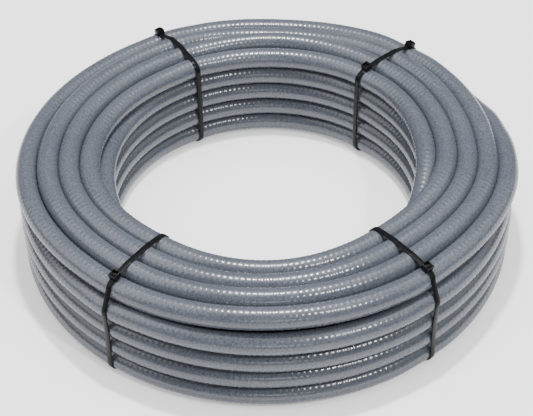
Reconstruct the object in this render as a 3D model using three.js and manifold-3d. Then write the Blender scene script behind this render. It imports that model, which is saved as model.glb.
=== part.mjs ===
// A coil of flexible hose, bound at four places by pairs of black cable ties.
// Millimetres, +Z up. The coil stands on the straps that pass under it, at z = 0.
import * as THREE from 'three';
import { mergeVertices } from 'three/addons/utils/BufferGeometryUtils.js';
import Module from 'manifold-3d';

const wasm = await Module();
wasm.setup();

// ---- driving dimensions ----
const HOSE_RADIUS = 12.5;
const TOUCH_GAP = 0.3;

// Cable tie: strap section, head and slot, in the head's own frame. t runs along the strap,
// n points out of the bundle and w runs across the strap.
const STRAP_WIDTH = 6.2;
const STRAP_THICKNESS = 1.4;
const TAIL_BEND_RADIUS = 1.5;
const TAIL_STUB = 1.2;
const HEAD_HALF_LENGTH = 5.0;
const HEAD_HALF_WIDTH = 5.0;
const HEAD_HEIGHT = 7.2;
const HEAD_LIFT = 0.1;
const SLOT_BACK_T = -2.75;
const SLOT_FRONT_T = -0.75;
const POCKET_END_T = 3.8;
const SLOT_HALF_WIDTH = 3.4;
const ENTRY_HEIGHT = 2.7;
const TAIL_BEND_STEPS = 6;
const PAWL_HALF_WIDTH = 2.8;
const PAWL_FOOT_N = 1.7;
const PAWL_TIP_N = 6.1;
const PAWL_TOOTH_T = -0.75;
const PAWL_ROOT_T = -0.3;
const PAWL_BACK_FOOT_T = 2.2;
const PAWL_BACK_TIP_T = 1.7;
const PAWL_TEETH = 3;
const PAWL_TEETH_START_N = 2.2;
const PAWL_TOOTH_POINT = 0.3;

// Turns of hose: 4 columns of 5 layers. The outline follows the outermost turns.
const INNER_COLUMN_R = 194;
const OUTER_COLUMN_R = 279.5;
const BOTTOM_TURN_Z = HOSE_RADIUS + TOUCH_GAP + STRAP_THICKNESS;
const LAYER_RISE = 25.4;
const THIRD_LAYER_Z = BOTTOM_TURN_Z + 2 * LAYER_RISE;
const FOURTH_LAYER_Z = BOTTOM_TURN_Z + 3 * LAYER_RISE;

// Centres of the turns that the outline bends around, as [radius, height], anticlockwise.
const OUTLINE_TURNS = {
  outer_bottom: [OUTER_COLUMN_R, BOTTOM_TURN_Z],
  outer_middle: [OUTER_COLUMN_R, THIRD_LAYER_Z],
  outer_fourth: [OUTER_COLUMN_R, FOURTH_LAYER_Z],
  top_outer: [268.2, 112.5],
  top_third: [243.8, 118.5],
  top_second: [218.8, 118.5],
  top_inner: [INNER_COLUMN_R, 115.3],
  inner_middle: [INNER_COLUMN_R, THIRD_LAYER_Z],
  inner_bottom: [INNER_COLUMN_R, BOTTOM_TURN_Z],
};

// The middle of the bundle, about which a binding's plane is turned off the radial direction.
const BUNDLE_R = 236.75;
// How much a turned plane's loop is widened, for each unit of its slope, so that the straight
// edges of its straps and heads clear the turns that they cross at a slant.
const SLANT_ROOM = 0.13;

// The four bindings: where each stands around the coil, how far its plane is turned, and for
// each of its two heads the turn that it sits by, its outward direction (degrees above
// horizontal, in the section) and how far it lies from that turn's crest along the strap.
const BINDINGS = [
  { name: 'tie_back_right', angle: 47.4, turned: -6.5, heads: [['top_outer', 76.2, 0], ['top_inner', 97.4, -4]] },
  { name: 'tie_back_left', angle: 119.3, turned: 4, heads: [['top_outer', 76.2, 2], ['outer_middle', 0, 0]] },
  { name: 'tie_front_left', angle: 233, turned: 0, heads: [['top_outer', 76.2, 4.5], ['inner_middle', 180, 0]] },
  { name: 'tie_front_right', angle: 309.3, turned: 0, heads: [['top_outer', 76.2, 3], ['inner_middle', 180, 0]] },
];

const RING_SEGMENTS = 96;
const CORNER_STEP = Math.PI / 18;

const hoseMaterial = () => new THREE.MeshStandardMaterial({ color: 0x8b9097, roughness: 0.42, metalness: 0 });
const tieMaterial = () => new THREE.MeshStandardMaterial({ color: 0x121314, roughness: 0.35, metalness: 0 });

// ---- the coil's section ----

// Convex outline, anticlockwise, of a set of 2D points.
function convexOutline(points) {
  const sorted = [...points].sort((a, b) => a.x - b.x || a.y - b.y);
  const turnsLeft = (a, b, c) => (b.x - a.x) * (c.y - a.y) - (b.y - a.y) * (c.x - a.x) > 1e-6;
  const chain = (list) => {
    const kept = [];
    for (const point of list) {
      while (kept.length > 1 && !turnsLeft(kept.at(-2), kept.at(-1), point)) kept.pop();
      kept.push(point);
    }
    return kept.slice(0, -1);
  };
  return [...chain(sorted), ...chain(sorted.reverse())];
}

// Points on a circle of the given radius around every turn of the outline.
function turnCircles(radius) {
  const points = [];
  for (const [r, z] of Object.values(OUTLINE_TURNS)) {
    for (let angle = 0; angle < 2 * Math.PI - 1e-6; angle += CORNER_STEP) {
      points.push(new THREE.Vector2(r + radius * Math.cos(angle), z + radius * Math.sin(angle)));
    }
  }
  return points;
}

function hoseCoil() {
  const profile = convexOutline(turnCircles(HOSE_RADIUS));
  profile.push(profile[0].clone());
  const geometry = new THREE.LatheGeometry(profile, RING_SEGMENTS);
  geometry.rotateX(Math.PI / 2);
  const mesh = new THREE.Mesh(toGeometry(toSolid(geometry)), hoseMaterial());
  mesh.name = 'hose_coil';
  return mesh;
}

// ---- solids ----

function toSolid(geometry) {
  const bare = geometry.clone();
  for (const name of Object.keys(bare.attributes)) {
    if (name !== 'position') bare.deleteAttribute(name);
  }
  const merged = mergeVertices(bare, 1e-4);
  const solid = new wasm.Manifold(new wasm.Mesh({
    numProp: 3,
    vertProperties: new Float32Array(merged.attributes.position.array),
    triVerts: new Uint32Array(merged.index.array),
  }));
  if (solid.volume() > 0) return solid;
  return toSolid(reversed(merged));
}

function reversed(geometry) {
  const flipped = geometry.clone();
  flipped.setIndex([...geometry.index.array].reverse());
  return flipped;
}

function toGeometry(solid) {
  const mesh = solid.getMesh();
  const geometry = new THREE.BufferGeometry();
  geometry.setAttribute('position', new THREE.BufferAttribute(new Float32Array(mesh.vertProperties), 3));
  geometry.setIndex([...mesh.triVerts]);
  geometry.computeVertexNormals();
  return geometry;
}

// A flat outline in the section plane, given thickness across the strap.
function slab(points, halfWidth) {
  const geometry = new THREE.ExtrudeGeometry(new THREE.Shape(points), {
    depth: 2 * halfWidth,
    bevelEnabled: false,
    curveSegments: 1,
  });
  geometry.translate(0, 0, -halfWidth);
  return toSolid(geometry);
}

// ---- cable ties ----

// A place in a radial section, moved to where a plane that is turned off it meets the turn.
function stretched(point, stretch) {
  return new THREE.Vector2(BUNDLE_R + (point.x - BUNDLE_R) * stretch, point.y);
}

// The frame of a head: its origin on the strap's inner face, which the head lifts a little off
// the turn, t along the loop (anticlockwise in the section) and n out of the bundle.
function headFrame([turn, degrees, shift], stretch) {
  const [r, z] = OUTLINE_TURNS[turn];
  const angle = THREE.MathUtils.degToRad(degrees);
  const n = new THREE.Vector2(Math.cos(angle), Math.sin(angle));
  const t = new THREE.Vector2(-n.y, n.x);
  const reach = HOSE_RADIUS + TOUCH_GAP + HEAD_LIFT;
  const crest = new THREE.Vector2(r, z).addScaledVector(n, reach);
  const origin = stretched(crest, stretch).addScaledVector(t, shift);
  return (along, out) => origin.clone().addScaledVector(t, along).addScaledVector(n, out);
}

function box(frame, tLow, tHigh, nLow, nHigh, halfWidth) {
  const corners = [frame(tLow, nLow), frame(tHigh, nLow), frame(tHigh, nHigh), frame(tLow, nHigh)];
  return slab(corners, halfWidth);
}

// The closed line that the inner faces of both straps follow: tight around the turns, and
// straight along the underside of each head.
function loopLine(frames, stretch) {
  const points = turnCircles(HOSE_RADIUS + TOUCH_GAP).map((point) => stretched(point, stretch));
  for (const frame of frames) {
    points.push(frame(-HEAD_HALF_LENGTH, 0), frame(HEAD_HALF_LENGTH, 0));
  }
  return convexOutline(points);
}

// Strip of the strap's thickness outside a line that runs anticlockwise around the bundle.
function strapStrip(line) {
  const outside = line.map((point, i) => {
    const before = line[Math.max(i - 1, 0)];
    const after = line[Math.min(i + 1, line.length - 1)];
    const along = after.clone().sub(before).normalize();
    return point.clone().add(new THREE.Vector2(along.y, -along.x).multiplyScalar(STRAP_THICKNESS));
  });
  return [...line, ...outside.reverse()];
}

// Where a tail turns outwards from the bundle and up through the other tie's slot,
// as a line on the side of it that faces the bundle.
function tailTurn(frame) {
  const outerRadius = TAIL_BEND_RADIUS + STRAP_THICKNESS / 2;
  const tailFace = SLOT_FRONT_T - TOUCH_GAP;
  const bendT = tailFace - outerRadius;
  const points = [];
  for (let i = 0; i <= TAIL_BEND_STEPS; i++) {
    const angle = (i / TAIL_BEND_STEPS) * (Math.PI / 2);
    points.push(frame(bendT + outerRadius * Math.sin(angle), outerRadius * (1 - Math.cos(angle))));
  }
  points.push(frame(tailFace, HEAD_HEIGHT + TAIL_STUB));
  return points;
}

// One tie: its own head, the strap on to the other head, and the tail through that one.
function tieSolid(line, own, other) {
  const start = nearestIndex(line, own(HEAD_HALF_LENGTH, 0));
  const end = nearestIndex(line, other(-HEAD_HALF_LENGTH, 0));
  const run = [own(HEAD_HALF_LENGTH - 1, 0)];
  for (let i = start; i !== end; i = (i + 1) % line.length) run.push(line[i]);
  const strap = slab(strapStrip([...run, line[end], ...tailTurn(other)]), STRAP_WIDTH / 2);
  const block = box(own, -HEAD_HALF_LENGTH, HEAD_HALF_LENGTH, 0, HEAD_HEIGHT, HEAD_HALF_WIDTH);
  const slot = box(own, SLOT_BACK_T, POCKET_END_T, STRAP_THICKNESS, HEAD_HEIGHT + 1, SLOT_HALF_WIDTH);
  const entry = box(own, -HEAD_HALF_LENGTH - 1, SLOT_FRONT_T, -1, ENTRY_HEIGHT, SLOT_HALF_WIDTH);
  return block.subtract(slot).subtract(entry).add(strap);
}

function nearestIndex(line, target) {
  let best = 0;
  for (let i = 1; i < line.length; i++) {
    if (line[i].distanceTo(target) < line[best].distanceTo(target)) best = i;
  }
  return best;
}

// The toothed tongue that locks the tail. It stands on the head's floor at its hinge.
function pawlSolid(frame) {
  const pitch = (PAWL_TIP_N - PAWL_TEETH_START_N) / PAWL_TEETH;
  const points = [
    frame(PAWL_BACK_FOOT_T, PAWL_FOOT_N),
    frame(PAWL_BACK_TIP_T, PAWL_TIP_N),
    frame(PAWL_ROOT_T, PAWL_TIP_N),
  ];
  for (let tooth = PAWL_TEETH; tooth > 0; tooth--) {
    const low = PAWL_TEETH_START_N + (tooth - 1) * pitch;
    points.push(frame(PAWL_TOOTH_T, low + PAWL_TOOTH_POINT * pitch), frame(PAWL_ROOT_T, low));
  }
  points.push(frame(PAWL_ROOT_T, PAWL_FOOT_N));
  return slab(points, PAWL_HALF_WIDTH);
}

// The section plane stands up: radius stays on X and height turns on to Z.
function sectionMesh(name, solid) {
  const mesh = new THREE.Mesh(toGeometry(solid), tieMaterial());
  mesh.name = name;
  mesh.rotation.x = Math.PI / 2;
  return mesh;
}

function binding({ name, angle, turned, heads }) {
  const group = new THREE.Group();
  const around = THREE.MathUtils.degToRad(angle);
  const facing = THREE.MathUtils.degToRad(angle + turned);
  const slant = Math.abs(facing - around);
  const stretch = 1 / Math.cos(slant) + SLANT_ROOM * Math.tan(slant);
  const frames = heads.map((head) => headFrame(head, stretch));
  const line = loopLine(frames, stretch);
  frames.forEach((own, i) => {
    const tie = `${name}_${'ab'[i]}`;
    group.add(sectionMesh(tie, tieSolid(line, own, frames[1 - i])));
    group.add(sectionMesh(`${tie}_pawl`, pawlSolid(own)));
  });
  group.rotation.z = facing;
  group.position.x = BUNDLE_R * (Math.cos(around) - Math.cos(facing));
  group.position.y = BUNDLE_R * (Math.sin(around) - Math.sin(facing));
  return group;
}

const part = new THREE.Group();
part.add(hoseCoil(), ...BINDINGS.map(binding));

export default part;
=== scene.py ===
"""A coil of ribbed grey hose, bound at four places by pairs of black cable ties.

Metres, +Z up. The coil stands at the origin on the straps that pass under it.
"""

import math

import bmesh
import bpy
import numpy as np
from mathutils import Matrix, Vector


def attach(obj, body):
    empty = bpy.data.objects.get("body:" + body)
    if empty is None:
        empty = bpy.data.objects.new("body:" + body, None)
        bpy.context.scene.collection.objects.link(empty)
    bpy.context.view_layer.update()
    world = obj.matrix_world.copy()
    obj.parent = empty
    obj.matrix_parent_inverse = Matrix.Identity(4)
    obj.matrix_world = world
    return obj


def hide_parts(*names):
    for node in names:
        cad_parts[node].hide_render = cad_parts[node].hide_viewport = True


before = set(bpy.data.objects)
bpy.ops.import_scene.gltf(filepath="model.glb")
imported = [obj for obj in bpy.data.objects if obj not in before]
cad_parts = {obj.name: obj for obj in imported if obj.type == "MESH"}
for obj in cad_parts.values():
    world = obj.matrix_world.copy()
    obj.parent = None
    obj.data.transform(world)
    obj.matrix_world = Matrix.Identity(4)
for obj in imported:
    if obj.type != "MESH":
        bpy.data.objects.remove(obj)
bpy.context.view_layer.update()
MM = 0.001

# ---- driving dimensions, in millimetres ----
HOSE_RADIUS = 12.5
BORE_RADIUS = 10.0
BORE_DEPTH = 60.0
TOUCH_GAP = 0.3
STRAP_THICKNESS = 1.4

# Four columns of turns in four layers, with a fifth layer on top.
COLUMNS = (194.0, 222.5, 251.0, 279.5)
BOTTOM_TURN_Z = HOSE_RADIUS + TOUCH_GAP + STRAP_THICKNESS
LAYER_RISE = 25.4
TOP_LAYER = 4
TIE_ANGLES = (47.4, 119.3, 233.0, 309.3)

# How the hose is wound, in degrees around the coil, anticlockwise from above. It steps from
# column to column at these angles, and climbs to the next layer at the wall that it reaches.
INNER_END = 225
OUTER_END = 60
STEP_OUT = (200, 140, 98)
STEP_IN = {1: (66, 0, 310), 3: (0, 356, 352)}
OUTER_CLIMB = 80
INNER_CLIMB = 270
STEP_SPAN = 32
CLIMB_SPAN = 36

# The top layer, an outward spiral: [radius, height] of its turns at angles around the coil.
TIE_TURNS = ((194.0, 115.3), (218.8, 118.5), (243.8, 118.5), (268.2, 112.5))
TOP_TURNS = {
    0: ((193.0, 113.5), (215.5, 119.0), (238.0, 118.0), (260.0, 115.5)),
    47.4: TIE_TURNS,
    84: ((194.5, 114.0), (221.0, 119.5), (244.0, 110.5), (266.0, 108.0)),
    119.3: TIE_TURNS,
    187: ((206.5, 116.0), (231.0, 119.5), (255.0, 119.5), (279.0, 114.5)),
    233.0: TIE_TURNS,
    270: ((197.0, 113.0), (220.0, 117.0), (244.0, 120.5), (269.0, 117.0)),
    309.3: TIE_TURNS,
}

# The turn below that climbs to it, and the last one that drops from it: [angle, radius, height].
RISING_TURN = ((119.3, 194.0, 90.2), (187, 190.5, 95.0), (233.0, 194.0, 90.2), (313, 194.0, 90.2))
LAST_TURN = (
    (0, 282.5, 112.0), (12, 281.5, 105.5), (25, 280.0, 96.0), (40, 279.5, 90.2),
    (OUTER_END, 279.5, 90.2),
)

# A slow unevenness of the turns: [size, waves in a turn, phase].
RADIUS_WAVES = ((0.6, 0.83, 0.4), (0.5, 2.37, 1.9))
HEIGHT_WAVES = ((0.5, 1.71, 2.2), (0.4, 2.93, 0.3))

# How turns that would lie in each other are moved apart, except beside the ties.
SECTION_STEP = 5
TURN_SPACING = 24.3
RELAX_ROUNDS = 500
RETURN_SHARE = 0.02
SMOOTH_SHARE = 0.5
PUSH_SHARE = 0.45
INNER_LIMIT = 189.5
OUTER_LIMIT = 284.0
PIN_REACH = 4.5

# The hose's wall and the ribbed cover on it.
RING_STEP = 2.5
RING_SIDES = 20
CORE_RADIUS = 12.4
END_EDGE = 0.6
BORE_EDGE = 0.5
RIB_PITCH = 6.3
RIB_HEIGHTS = (0.0, 0.15, 0.3, 0.15)
COVER_SEAM = TIE_ANGLES[2]

# ---- the ties ----
# The turns that the straps pass around, [radius, height] in the coil's section.
OUTLINE_TURNS = {
    "outer_bottom": (COLUMNS[3], BOTTOM_TURN_Z),
    "outer_middle": (COLUMNS[3], BOTTOM_TURN_Z + 2 * LAYER_RISE),
    "outer_fourth": (COLUMNS[3], BOTTOM_TURN_Z + 3 * LAYER_RISE),
    "top_outer": TIE_TURNS[3],
    "top_third": TIE_TURNS[2],
    "top_second": TIE_TURNS[1],
    "top_inner": TIE_TURNS[0],
    "inner_middle": (COLUMNS[0], BOTTOM_TURN_Z + 2 * LAYER_RISE),
    "inner_bottom": (COLUMNS[0], BOTTOM_TURN_Z),
}

# The middle of the bundle, about which a binding's plane is turned off the radial direction. The
# more it is turned, the more room its straps are given to clear the turns.
BUNDLE_R = 236.75
BUNDLE_Z = 65.0
SLANT_ROOM = 0.13

# How far each binding's plane is turned, and for each of its two heads its turn, its outward
# direction in degrees above horizontal, and how far it lies from the crest along the strap.
BINDINGS = {
    "tie_back_right": (-6.5, ("top_outer", 76.2, 0.0), ("top_inner", 97.4, -4.0)),
    "tie_back_left": (4.0, ("top_outer", 76.2, 2.0), ("outer_middle", 0.0, 0.0)),
    "tie_front_left": (0.0, ("top_outer", 76.2, 4.5), ("inner_middle", 180.0, 0.0)),
    "tie_front_right": (0.0, ("top_outer", 76.2, 3.0), ("inner_middle", 180.0, 0.0)),
}

# How far a strap lies to the side of its plane, at directions from the bundle's middle in
# degrees above the outward horizontal.
LEANS = {
    "tie_back_right": ((0, -1.0), (62, 0.0), (90, 0.0), (118, 0.0), (180, 1.5), (270, 0.0)),
    "tie_back_left": ((0, 0.0), (62, 0.0), (90, -3.5), (118, -2.0), (180, -3.0), (270, -1.0)),
    "tie_front_left": ((0, 4.0), (62, 0.0), (90, 0.8), (118, 0.0), (180, 0.0), (270, 1.0)),
    "tie_front_right": ((0, -7.5), (62, 0.0), (90, -0.8), (118, 1.0), (180, 0.0), (270, -3.0)),
}

# A strap comes to lean over this length from its head, after a share of it that is held straight.
LEAN_LENGTH = 18.0
HELD_SHARE = 0.25
LEAN_ROUNDS = 60

STRAP_WIDTH = 6.2
STRAP_EDGE = 0.35
STRAP_CORNER = 0.3
STRAP_STEP = 1.5
STRAP_ROUNDS = 2
STRAP_IN_HEAD = 1.0
LOOP_STEP = 3

# Places in a head run along the strap (t), across it, and out of the bundle (n), from the middle
# of the head's foot.
HEAD_LIFT = 0.1
HEAD_HALF = 5.0
HEAD_HEIGHT = 7.2
HEAD_EDGE = 0.8
SLOT_EDGE = 0.25
SLOT_T = (-2.75, 3.8)
SLOT_HALF_WIDTH = 3.4
ENTRY_FRONT_T = -0.75
ENTRY_HEIGHT = 2.7
TAIL_BEND_RADIUS = 1.5
TAIL_BEND_STEPS = 8
TAIL_STUB = 1.2
PAWL_HALF_WIDTH = 2.8
PAWL_PROFILE = (
    (2.2, 1.7), (1.7, 6.1), (-0.3, 6.1), (-0.75, 5.07), (-0.3, 4.8),
    (-0.75, 3.87), (-0.3, 3.5), (-0.75, 2.59), (-0.3, 2.2), (-0.3, 1.7),
)
PAWL_EDGE = 0.15
SHARP_ANGLE = 35


# ---- camera ----

CAMERA_PLACE = Vector((0.0007, -1.264, 1.170))
CAMERA_TARGET = Vector((0.0007, 0.0, 0.0292))
CAMERA_ROLL = -0.016
CAMERA_LENS = 94.2
SENSOR_WIDTH = 36
FARTHEST_SEEN = 50


def make_camera():
    data = bpy.data.cameras.new("camera")
    data.lens = CAMERA_LENS
    data.sensor_width = SENSOR_WIDTH
    data.clip_end = FARTHEST_SEEN
    camera = bpy.data.objects.new("camera", data)
    bpy.context.scene.collection.objects.link(camera)
    look = (CAMERA_TARGET - CAMERA_PLACE).to_track_quat("-Z", "Y").to_matrix().to_4x4()
    roll = Matrix.Rotation(CAMERA_ROLL, 4, "Z")
    camera.matrix_world = Matrix.Translation(CAMERA_PLACE) @ look @ roll
    bpy.context.scene.camera = camera


# ---- the hose's route ----


def next_angle(angle, wanted):
    """The first angle after this one that is at the wanted place around the coil."""
    return angle + (wanted - angle) % 360


def winding_keys():
    """[angle, radius, height] of the places that the hose is led through, from its inner end."""
    angle = INNER_END
    column, layer = 0, 0
    keys = [(angle, COLUMNS[0], BOTTOM_TURN_Z)]

    def move(at, span, new_column, new_layer):
        nonlocal angle, column, layer
        angle = next_angle(angle, at)
        old = (COLUMNS[column], BOTTOM_TURN_Z + layer * LAYER_RISE)
        new = (COLUMNS[new_column], BOTTOM_TURN_Z + new_layer * LAYER_RISE)
        keys.append((angle - span / 2, *old))
        keys.append((angle + span / 2, *new))
        column, layer = new_column, new_layer

    while layer < TOP_LAYER:
        outward = layer % 2 == 0
        for at in STEP_OUT if outward else STEP_IN[layer]:
            move(at, STEP_SPAN, column + (1 if outward else -1), layer)
        if layer == TOP_LAYER - 1:
            break
        move(OUTER_CLIMB if outward else INNER_CLIMB, CLIMB_SPAN, column, layer + 1)

    for at, radius, height in RISING_TURN:
        angle = next_angle(angle, at)
        keys.append((angle, radius, height))
    for turn in range(len(TIE_TURNS)):
        for at, turns in TOP_TURNS.items():
            angle = next_angle(angle, at)
            keys.append((angle, *turns[turn]))
    for at, radius, height in LAST_TURN:
        angle = next_angle(angle, at)
        keys.append((angle, radius, height))
    return np.array(keys)


def ease(x):
    """A smooth rise from 0 to 1."""
    return x * x * (3 - 2 * x)


def sample_keys(keys, angles):
    """Radius and height at these angles, easing from key to key."""
    i = np.clip(np.searchsorted(keys[:, 0], angles, side="right") - 1, 0, len(keys) - 2)
    x = np.clip((angles - keys[i, 0]) / (keys[i + 1, 0] - keys[i, 0]), 0, 1)
    return keys[i, 1:] + (keys[i + 1, 1:] - keys[i, 1:]) * ease(x)[:, None]


def waver(angles):
    """[radius, height] to add for an unevenness of about a millimetre, different on every turn."""
    around = np.radians(angles)
    sums = [
        sum(size * np.sin(waves * around + phase) for size, waves, phase in wave_set)
        for wave_set in (RADIUS_WAVES, HEIGHT_WAVES)
    ]
    return np.stack(sums, axis=1)


def near_tie(angles):
    """Whether each angle is beside a binding."""
    around = np.mod(angles[:, None] - np.array(TIE_ANGLES) + 180, 360) - 180
    return np.abs(around).min(axis=1) <= PIN_REACH


def smoothed(values):
    """Each value averaged with the ones before and after it."""
    padded = np.concatenate([values[:1], values, values[-1:]])
    return 0.25 * padded[:-2] + 0.5 * padded[1:-1] + 0.25 * padded[2:]


def pushes(place):
    """How far every place is pushed by the other turns that lie too near it in its own section."""
    per_turn = 360 // SECTION_STEP
    rows = math.ceil(len(place) / per_turn)
    grid = np.full((rows * per_turn, 2), np.nan)
    grid[: len(place)] = place
    grid = grid.reshape(rows, per_turn, 2)
    apart = grid[:, None] - grid[None, :]
    distance = np.linalg.norm(apart, axis=-1)
    overlap = np.nan_to_num(np.maximum(TURN_SPACING - distance, 0))
    overlap[np.arange(rows), np.arange(rows)] = 0
    way = np.nan_to_num(apart) / np.maximum(np.nan_to_num(distance, nan=1.0), 1e-6)[..., None]
    push = PUSH_SHARE * (overlap[..., None] * way).sum(axis=1)
    return push.reshape(-1, 2)[: len(place)]


def relax(angles, wanted):
    """Moves turns that would lie in each other apart in the coil's section, smoothly."""
    pinned = near_tie(angles)
    place = wanted.copy()
    for _ in range(RELAX_ROUNDS):
        place = place + RETURN_SHARE * (wanted - place)
        moved = place - wanted
        place = wanted + (1 - SMOOTH_SHARE) * moved + SMOOTH_SHARE * smoothed(moved)
        place = place + pushes(place)
        place[:, 0] = np.clip(place[:, 0], INNER_LIMIT, OUTER_LIMIT)
        place[:, 1] = np.maximum(place[:, 1], BOTTOM_TURN_Z)
        place[pinned] = wanted[pinned]
    return place


def catmull(values, at):
    """Values of a smooth curve through evenly spaced samples, at fractional sample numbers."""
    i = np.clip(at.astype(int), 0, len(values) - 2)
    x = (at - i)[:, None]
    a, b = values[np.maximum(i - 1, 0)], values[i]
    c, d = values[i + 1], values[np.minimum(i + 2, len(values) - 1)]
    return b + 0.5 * x * (c - a + x * (2 * a - 5 * b + 4 * c - d + x * (3 * (b - c) + d - a)))


def hose_route():
    """Angles and [radius, height] along the whole hose, at every ring of its mesh."""
    keys = winding_keys()
    angles = np.arange(keys[0, 0], keys[-1, 0] + 0.1, SECTION_STEP)
    wanted = sample_keys(keys, angles)
    wanted[~near_tie(angles)] += waver(angles)[~near_tie(angles)]
    place = relax(angles, wanted)
    fine = np.arange(angles[0], angles[-1] + 0.01, RING_STEP)
    return fine, catmull(place, (fine - angles[0]) / SECTION_STEP)


def in_space(angles, place):
    """Points in metres from angles around the coil and [radius, height]."""
    around = np.radians(angles)
    radius, height = place[:, 0], place[:, 1]
    return MM * np.stack([radius * np.cos(around), radius * np.sin(around), height], axis=1)


def frames_along(points, angles):
    """Tangent, outward normal and upward normal of the route at every point."""
    tangent = np.gradient(points, axis=0)
    tangent /= np.linalg.norm(tangent, axis=1)[:, None]
    around = np.radians(angles)
    radial = np.stack([np.cos(around), np.sin(around), np.zeros_like(around)], axis=1)
    radial -= tangent * (radial * tangent).sum(axis=1)[:, None]
    radial /= np.linalg.norm(radial, axis=1)[:, None]
    return tangent, radial, np.cross(radial, tangent)


# ---- meshes ----


def mesh_object(name, points, faces, smooth=True):
    mesh = bpy.data.meshes.new(name)
    mesh.from_pydata(points, [], faces)
    mesh.update()
    mesh.polygons.foreach_set("use_smooth", [smooth] * len(mesh.polygons))
    made = bpy.data.objects.new(name, mesh)
    bpy.context.scene.collection.objects.link(made)
    return made


def loft(rings, sides):
    """Faces that join closed rings of points one after the other."""
    ring = np.arange(rings - 1)[:, None] * sides
    following = ring + sides
    side = np.arange(sides)[None, :]
    after = (side + 1) % sides
    quads = np.stack([ring + side, ring + after, following + after, following + side], axis=-1)
    return quads.reshape(-1, 4)


def hose_wall(points, tangent, radial, up):
    """The hose's outside, turned in at each cut end to its bore, which is closed out of sight."""
    turn = (np.arange(RING_SIDES) * 2 * math.pi / RING_SIDES)[None, :, None]
    spokes = radial[:, None] * np.cos(turn) + up[:, None] * np.sin(turn)
    outside = points[:, None] + MM * CORE_RADIUS * spokes
    deep = int(BORE_DEPTH * MM / np.linalg.norm(points[1] - points[0]))

    def end(first, inward):
        cut = points[first] - inward * MM * END_EDGE * tangent[first]
        lip = cut + MM * (CORE_RADIUS - END_EDGE) * spokes[first]
        mouth = cut + MM * (BORE_RADIUS + BORE_EDGE) * spokes[first]
        rings = [lip, mouth]
        for i in range(deep):
            at = first + i * inward
            rings.append(points[at] + MM * BORE_RADIUS * spokes[at])
        return rings

    head = end(0, 1)[::-1]
    tail = end(len(points) - 1, -1)
    rings = np.concatenate([np.array(head), outside, np.array(tail)])
    faces = [tuple(f) for f in loft(len(rings), RING_SIDES)]
    last = len(rings) * RING_SIDES
    faces.append(tuple(range(RING_SIDES)))
    faces.append(tuple(range(last - 1, last - RING_SIDES - 1, -1)))
    return mesh_object("hose_wall", rings.reshape(-1, 3).tolist(), faces)


def cover_skin(points, radial, up, length, along):
    """Points of the cover: a row across one pitch of the rib at every place along the hose."""
    count = len(RIB_HEIGHTS)
    shift = MM * RIB_PITCH * np.arange(count) / count
    at = np.interp((along[:, None] + shift).ravel(), length, np.arange(len(points)))
    centre, outward, upward = (catmull(v, at) for v in (points, radial, up))
    turn = np.repeat(np.arange(len(along)) * 2 * math.pi / RING_SIDES, count)
    spoke = outward * np.cos(turn)[:, None] + upward * np.sin(turn)[:, None]
    reach = MM * (HOSE_RADIUS + np.tile(RIB_HEIGHTS, len(along)))
    return centre + spoke * reach[:, None]


def cover_quads(first, last):
    """Faces between the cover's rows, each row's end joined to the one a full round later."""
    count = len(RIB_HEIGHTS)
    row = np.arange(first, last + 1)[:, None] * count + np.arange(count)[None, :]
    following = row + 1
    following[:, -1] = row[:, 0] + RING_SIDES * count
    return np.stack([row, row + count, following + count, following], axis=-1).reshape(-1, 4)


def hose_cover(points, radial, up, angles):
    """The hose's outer skin with its raised spiral, one piece for each turn of the coil."""
    steps = np.linalg.norm(np.diff(points, axis=0), axis=1)
    length = np.concatenate([[0], np.cumsum(steps)])
    along = np.arange(0, length[-1] - 2 * MM * RIB_PITCH, MM * RIB_PITCH / RING_SIDES)
    skin = cover_skin(points, radial, up, length, along)
    angle = np.interp(along, length, angles)
    number = np.maximum((angle - COVER_SEAM) // 360, 0).astype(int)
    covers = []
    for turn_number in range(number.max() + 1):
        own = np.nonzero(number == turn_number)[0]
        quads = cover_quads(own[0], min(own[-1], len(along) - RING_SIDES - 2))
        used, numbered = np.unique(quads, return_inverse=True)
        faces = [tuple(f) for f in numbered.reshape(-1, 4).tolist()]
        name = f"hose_cover_{turn_number + 1:02d}"
        covers.append(mesh_object(name, skin[used].tolist(), faces))
    return covers


def recalculate_normals(made):
    work = bmesh.new()
    work.from_mesh(made.data)
    bmesh.ops.recalc_face_normals(work, faces=work.faces)
    work.to_mesh(made.data)
    work.free()


# ---- ties ----


def stretched(places, turned):
    """Places in a radial section, moved to where a plane turned off it meets the turns."""
    middle = np.array([BUNDLE_R, 0.0])
    slant = math.radians(abs(turned))
    stretch = 1 / math.cos(slant) + SLANT_ROOM * math.tan(slant)
    return middle + (places - middle) * np.array([stretch, 1.0])


def head_frame(turned, turn, degrees, shift):
    """Turns [t, n] beside a head into [radius, height] in the coil's section."""
    direction = math.radians(degrees)
    out = np.array([math.cos(direction), math.sin(direction)])
    along = np.array([-out[1], out[0]])
    crest = np.array(OUTLINE_TURNS[turn]) + out * (HOSE_RADIUS + TOUCH_GAP + HEAD_LIFT)
    origin = stretched(crest, turned) + along * shift
    return lambda t, n: origin + along * t + out * n


def cross(a, b, c):
    """More than zero where the way from a through b to c bends left."""
    return (b[0] - a[0]) * (c[1] - a[1]) - (b[1] - a[1]) * (c[0] - a[0])


def convex_outline(points):
    """The points on the convex outline, anticlockwise."""
    ordered = sorted(map(tuple, points))

    def half(run):
        kept = []
        for point in run:
            while len(kept) > 1 and cross(kept[-2], kept[-1], point) <= 0:
                kept.pop()
            kept.append(point)
        return kept[:-1]

    return np.array(half(ordered) + half(ordered[::-1]))


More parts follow.
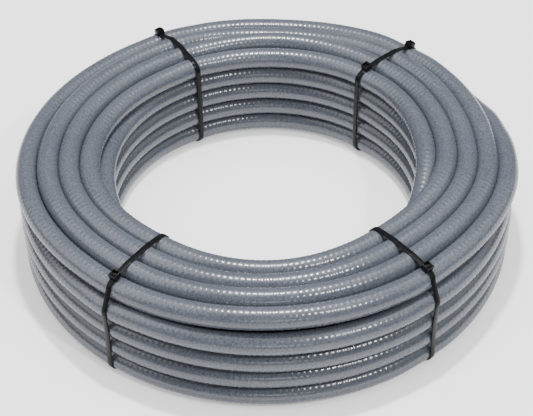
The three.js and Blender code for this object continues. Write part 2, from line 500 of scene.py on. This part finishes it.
def loop_line(frames, turned):
    """The closed line that both straps' inner faces follow, tight around the turns."""
    around = np.radians(np.arange(0, 360, LOOP_STEP))
    circle = (HOSE_RADIUS + TOUCH_GAP) * np.stack([np.cos(around), np.sin(around)], axis=1)
    points = [stretched(np.array(turn) + circle, turned) for turn in OUTLINE_TURNS.values()]
    feet = [frame_of(t, 0) for frame_of in frames for t in (-HEAD_HALF, HEAD_HALF)]
    return convex_outline(np.concatenate([*points, feet]))


def evenly(points, step):
    """The same open line with points this far apart, and its corners kept."""
    made = []
    for a, b in zip(points[:-1], points[1:]):
        count = max(1, round(float(np.linalg.norm(b - a)) / step))
        made += [a + (b - a) * i / count for i in range(count)]
    return np.array(made + [points[-1]])


def tail_turn(frame_of):
    """Where a tail turns outwards from the bundle and up through the other tie's slot."""
    radius = TAIL_BEND_RADIUS + STRAP_THICKNESS / 2
    face = ENTRY_FRONT_T - TOUCH_GAP
    bend = [
        frame_of(face - radius + radius * math.sin(a), radius * (1 - math.cos(a)))
        for a in np.linspace(0, math.pi / 2, TAIL_BEND_STEPS + 1)
    ]
    return np.array([*bend, *(frame_of(face, n) for n in (HEAD_HEIGHT / 2, HEAD_HEIGHT + TAIL_STUB))])


def strap_line(line, own, other):
    """The inner face of a strap from its own head to its tail's end, and how many of its points
    come before the tail turns outwards."""
    start = np.linalg.norm(line - own(HEAD_HALF, 0), axis=1).argmin()
    end = np.linalg.norm(line - other(-HEAD_HALF, 0), axis=1).argmin()
    run = np.roll(line, -start, axis=0)[: (end - start) % len(line) + 1]
    tight = evenly(np.vstack([own(HEAD_HALF - STRAP_IN_HEAD, 0), run]), STRAP_STEP)
    for _ in range(STRAP_ROUNDS):
        tight[1:-1] = (tight[:-2] + 2 * tight[1:-1] + tight[2:]) / 4
    return np.vstack([tight, tail_turn(other)]), len(tight)


def strap_section():
    """[across, thick] around the strap's rounded section, from its inner face outwards."""
    wide, thick, edge = STRAP_WIDTH / 2, STRAP_THICKNESS, STRAP_EDGE
    corner = edge * STRAP_CORNER
    half = [
        (wide - edge, 0), (wide - corner, corner), (wide, edge),
        (wide, thick - edge), (wide - corner, thick - corner), (wide - edge, thick),
    ]
    return np.array(half + [(-across, out) for across, out in reversed(half)])


def strap_lean(path, tight, keys):
    """How far each point of a strap lies to the side: not at all in and near its heads."""
    middle = np.array([BUNDLE_R, BUNDLE_Z])
    direction = np.degrees(np.arctan2(*(path - middle).T[::-1]))
    lean = np.interp(direction, *np.array(keys).T, period=360)
    along = np.arange(len(path)) * STRAP_STEP
    nearest = np.minimum(along, (tight - 1) * STRAP_STEP - along)
    held = np.clip(nearest / LEAN_LENGTH - HELD_SHARE, 0, 1)
    for _ in range(LEAN_ROUNDS):
        lean[1:-1] = (lean[:-2] + 2 * lean[1:-1] + lean[2:]) / 4
    return lean * ease(held)


def strap_mesh(line, own, other, keys):
    """Points [radius, across, height] and faces of one strap with its tail."""
    path, tight = strap_line(line, own, other)
    along = np.gradient(path, axis=0)
    along /= np.linalg.norm(along, axis=1)[:, None]
    out = np.stack([along[:, 1], -along[:, 0]], axis=1)
    lean = strap_lean(path, tight, keys)
    section = strap_section()
    inner = path[:, None] + out[:, None] * section[None, :, 1:]
    across = lean[:, None] + section[None, :, 0]
    points = np.stack([inner[..., 0], across, inner[..., 1]], axis=-1).reshape(-1, 3)
    faces = [tuple(f) for f in loft(len(path), len(section)).tolist()]
    faces.append(tuple(range(len(section))))
    faces.append(tuple(range(len(points) - 1, len(points) - len(section) - 1, -1)))
    return points, faces


def box_object(name, t, n, half_width):
    """A box between two places along (t) and two out (n), and as far to either side."""
    corners = [(x, y, z) for x in t for y in (-half_width, half_width) for z in n]
    faces = [(0, 1, 3, 2), (4, 6, 7, 5), (0, 4, 5, 1), (2, 3, 7, 6), (0, 2, 6, 4), (1, 5, 7, 3)]
    made = mesh_object(name, corners, faces, smooth=False)
    recalculate_normals(made)
    return made


def taken_mesh(made):
    """Points and faces of an object with its modifiers; the object itself is removed."""
    graph = bpy.context.evaluated_depsgraph_get()
    mesh = bpy.data.meshes.new_from_object(made.evaluated_get(graph))
    points = np.array([v.co[:] for v in mesh.vertices])
    faces = [tuple(f.vertices) for f in mesh.polygons]
    bpy.data.objects.remove(made, do_unlink=True)
    return points, faces


def bevelled(made, width, segments=3):
    bevel = made.modifiers.new("bevel", "BEVEL")
    bevel.width = width
    bevel.segments = segments
    bevel.limit_method = "ANGLE"
    return made


def head_shape():
    """A head with its slot and the opening that the tail enters by, in [t, across, n]."""
    block = box_object("head", (-HEAD_HALF, HEAD_HALF), (0, HEAD_HEIGHT), HEAD_HALF)
    bevelled(block, HEAD_EDGE)
    slot_n = (STRAP_THICKNESS, HEAD_HEIGHT + 1)
    slot = box_object("slot", SLOT_T, slot_n, SLOT_HALF_WIDTH)
    entry_t = (-HEAD_HALF - 1, ENTRY_FRONT_T)
    entry = box_object("entry", entry_t, (-1, ENTRY_HEIGHT), SLOT_HALF_WIDTH)
    for cutter in (slot, entry):
        cut = block.modifiers.new(cutter.name, "BOOLEAN")
        cut.operation = "DIFFERENCE"
        cut.object = cutter
        cut.solver = "EXACT"
    shape = taken_mesh(bevelled(block, SLOT_EDGE, 2))
    for cutter in (slot, entry):
        bpy.data.objects.remove(cutter, do_unlink=True)
    return shape


def pawl_shape():
    """The toothed tongue that locks the tail, in [t, across, n]."""
    count = len(PAWL_PROFILE)
    points = [(t, side * PAWL_HALF_WIDTH, n) for side in (-1, 1) for t, n in PAWL_PROFILE]
    faces = [(i, (i + 1) % count, (i + 1) % count + count, i + count) for i in range(count)]
    faces += [tuple(range(count))[::-1], tuple(range(count, 2 * count))]
    made = mesh_object("pawl", points, faces, smooth=False)
    recalculate_normals(made)
    return taken_mesh(bevelled(made, PAWL_EDGE, 2))


def at_head(shape, frame_of):
    """A head's or pawl's points moved to its place in the coil's section."""
    places = np.array([[*frame_of(t, n), across] for t, across, n in shape[0]])
    return places[:, [0, 2, 1]], shape[1]


def section_object(name, shapes, angle, turned):
    """One object from shapes in [radius, across, height], stood at its angle around the coil."""
    points, faces = [], []
    for shape_points, shape_faces in shapes:
        faces += [tuple(i + len(points) for i in f) for f in shape_faces]
        points += (MM * shape_points).tolist()
    made = mesh_object(name, points, faces)
    middle = Matrix.Translation((BUNDLE_R * MM, 0, 0))
    turn = middle @ Matrix.Rotation(math.radians(turned), 4, "Z") @ middle.inverted()
    made.data.transform(Matrix.Rotation(math.radians(angle), 4, "Z") @ turn)
    recalculate_normals(made)
    made.data.set_sharp_from_angle(angle=math.radians(SHARP_ANGLE))
    return made


def make_ties():
    """Every tie and pawl, as [object, the CAD node that it replaces, its body]."""
    head, pawl = head_shape(), pawl_shape()
    made = []
    for (name, (turned, *places)), angle in zip(BINDINGS.items(), TIE_ANGLES):
        frames = [head_frame(turned, *place) for place in places]
        line = loop_line(frames, turned)
        for letter, own, other in zip("ab", frames, frames[::-1]):
            tie = f"{name}_{letter}"
            shapes = [strap_mesh(line, own, other, LEANS[name]), at_head(head, own)]
            body = section_object(f"{tie}_strap_and_head", shapes, angle, turned)
            tongue = section_object(f"{tie}_tongue", [at_head(pawl, own)], angle, turned)
            made += [(body, tie, "coil"), (tongue, f"{tie}_pawl", f"{tie}_pawl")]
    return made


# ---- materials ----


def principled(name):
    material = bpy.data.materials.new(name)
    material.use_nodes = True
    nodes = material.node_tree.nodes
    return material, nodes, material.node_tree.links, nodes["Principled BSDF"]


def add_noise(nodes, links, scale, detail=3.0):
    coordinates = nodes.new("ShaderNodeTexCoord")
    noise = nodes.new("ShaderNodeTexNoise")
    noise.inputs["Scale"].default_value = scale
    noise.inputs["Detail"].default_value = detail
    links.new(coordinates.outputs["Object"], noise.inputs["Vector"])
    return noise.outputs["Fac"]


def grey(value):
    return (value, value, value)


def add_ramp(nodes, links, value, start, end):
    """A value turned into a colour that runs between two stops, [position, colour]."""
    ramp = nodes.new("ShaderNodeValToRGB")
    for element, (position, colour) in zip(ramp.color_ramp.elements, (start, end)):
        element.position = position
        element.color = (*colour, 1)
    links.new(value, ramp.inputs["Fac"])
    return ramp.outputs["Color"]


def add_product(nodes, links, first, second):
    mix = nodes.new("ShaderNodeVectorMath")
    mix.operation = "MULTIPLY"
    links.new(first, mix.inputs[0])
    links.new(second, mix.inputs[1])
    return mix.outputs["Vector"]


def add_grain(nodes, links, shader, scale, strength, distance):
    """A fine roughness of the surface."""
    grain = add_noise(nodes, links, scale, 2.0)
    bump = nodes.new("ShaderNodeBump")
    bump.inputs["Strength"].default_value = strength
    bump.inputs["Distance"].default_value = distance
    links.new(grain, bump.inputs["Height"])
    links.new(bump.outputs["Normal"], shader.inputs["Normal"])


def hose_material():
    """Blue-grey PVC, mottled, and less glossy where it turns away from the eye."""
    material, nodes, links, shader = principled("hose_pvc")
    tone = add_noise(nodes, links, 9)
    base = add_ramp(nodes, links, tone, (0.3, (0.073, 0.081, 0.101)), (0.7, (0.090, 0.099, 0.122)))
    mottle = add_noise(nodes, links, 500, 4.0)
    shade = add_ramp(nodes, links, mottle, (0.33, grey(0.64)), (0.6, grey(1.1)))
    links.new(add_product(nodes, links, base, shade), shader.inputs["Base Color"])
    gloss = add_noise(nodes, links, 60)
    spread = add_ramp(nodes, links, gloss, (0.3, grey(0.15)), (0.7, grey(0.27)))
    links.new(spread, shader.inputs["Roughness"])
    add_grain(nodes, links, shader, scale=900, strength=0.12, distance=0.0004)
    edge = nodes.new("ShaderNodeLayerWeight")
    edge.inputs["Blend"].default_value = 0.5
    sheen = add_ramp(nodes, links, edge.outputs["Facing"], (0.5, grey(0.55)), (0.95, grey(0.12)))
    links.new(sheen, shader.inputs["Specular IOR Level"])
    return material


def nylon_material():
    """Black nylon with a soft gloss."""
    material, nodes, links, shader = principled("black_nylon")
    tone = add_noise(nodes, links, 120)
    base = add_ramp(nodes, links, tone, (0.3, (0.004, 0.004, 0.005)), (0.7, (0.008, 0.008, 0.009)))
    links.new(base, shader.inputs["Base Color"])
    gloss = add_noise(nodes, links, 500)
    spread = add_ramp(nodes, links, gloss, (0.3, grey(0.2)), (0.75, grey(0.3)))
    links.new(spread, shader.inputs["Roughness"])
    shader.inputs["Specular IOR Level"].default_value = 0.1
    return material


def floor_material():
    """A pale floor that glows a little, so that it stays near white."""
    material, nodes, links, shader = principled("pale_floor")
    tone = add_noise(nodes, links, 2)
    base = add_ramp(nodes, links, tone, (0.3, grey(0.93)), (0.7, grey(0.96)))
    links.new(base, shader.inputs["Base Color"])
    shader.inputs["Roughness"].default_value = 0.8
    shader.inputs["Emission Color"].default_value = (1, 1, 1, 1)
    shader.inputs["Emission Strength"].default_value = 0.4
    return material


# ---- studio ----

WORLD_STRENGTH = 0.22
FLOOR_HALF = 6

# Each light's place and what it points at, in metres, its width and height, and its power.
LIGHTS = {
    "overhead": ((0, 0.4, 2.7), (0, 0, 0), (2.8, 2.4), 50),
    "back_spot": ((0, 0.29, 2.3), (0, 0, 0), (0.16, 0.1), 60),
    "right_spot": ((0.96, -1.17, 1.91), (0, 0, 0), (0.12, 0.12), 27),
    "left_fill": ((-2.1, -0.2, 1.9), (-0.2, 0, 0.1), (2.4, 2.4), 40),
    "right_fill": ((2.1, 0.3, 1.9), (0.2, 0, 0.1), (2.4, 2.4), 22),
    "front_fill": ((0.1, -2.4, 0.9), (0, 0.1, 0.05), (0.9, 0.5), 6),
}


def area_light(name, place, target, size, power):
    data = bpy.data.lights.new(name, "AREA")
    data.shape = "RECTANGLE"
    data.size, data.size_y = size
    data.energy = power
    light = bpy.data.objects.new(name, data)
    bpy.context.scene.collection.objects.link(light)
    aim = (Vector(target) - Vector(place)).to_track_quat("-Z", "Y").to_matrix().to_4x4()
    light.matrix_world = Matrix.Translation(Vector(place)) @ aim


def make_studio():
    world = bpy.data.worlds.new("studio")
    world.use_nodes = True
    background = world.node_tree.nodes["Background"]
    background.inputs["Color"].default_value = (1, 1, 1, 1)
    background.inputs["Strength"].default_value = WORLD_STRENGTH
    bpy.context.scene.world = world
    for name, light in LIGHTS.items():
        area_light(name, *light)
    corners = [(x * FLOOR_HALF, y * FLOOR_HALF, 0) for x, y in ((-1, -1), (1, -1), (1, 1), (-1, 1))]
    floor = mesh_object("floor", corners, [(0, 1, 2, 3)], smooth=False)
    floor.data.materials.append(floor_material())


# ---- assembly ----

make_camera()

route_angles, route_place = hose_route()
route = in_space(route_angles, route_place)
route_tangent, route_radial, route_up = frames_along(route, route_angles)

wall = hose_wall(route, route_tangent, route_radial, route_up)
covers = hose_cover(route, route_radial, route_up, route_angles)
pvc = hose_material()
for piece in [wall, *covers]:
    recalculate_normals(piece)
    piece.data.materials.append(pvc)
    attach(piece, "coil")
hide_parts("hose_coil")

nylon = nylon_material()
for piece, node, body in make_ties():
    piece.data.materials.append(nylon)
    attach(piece, body)
    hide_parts(node)

make_studio()
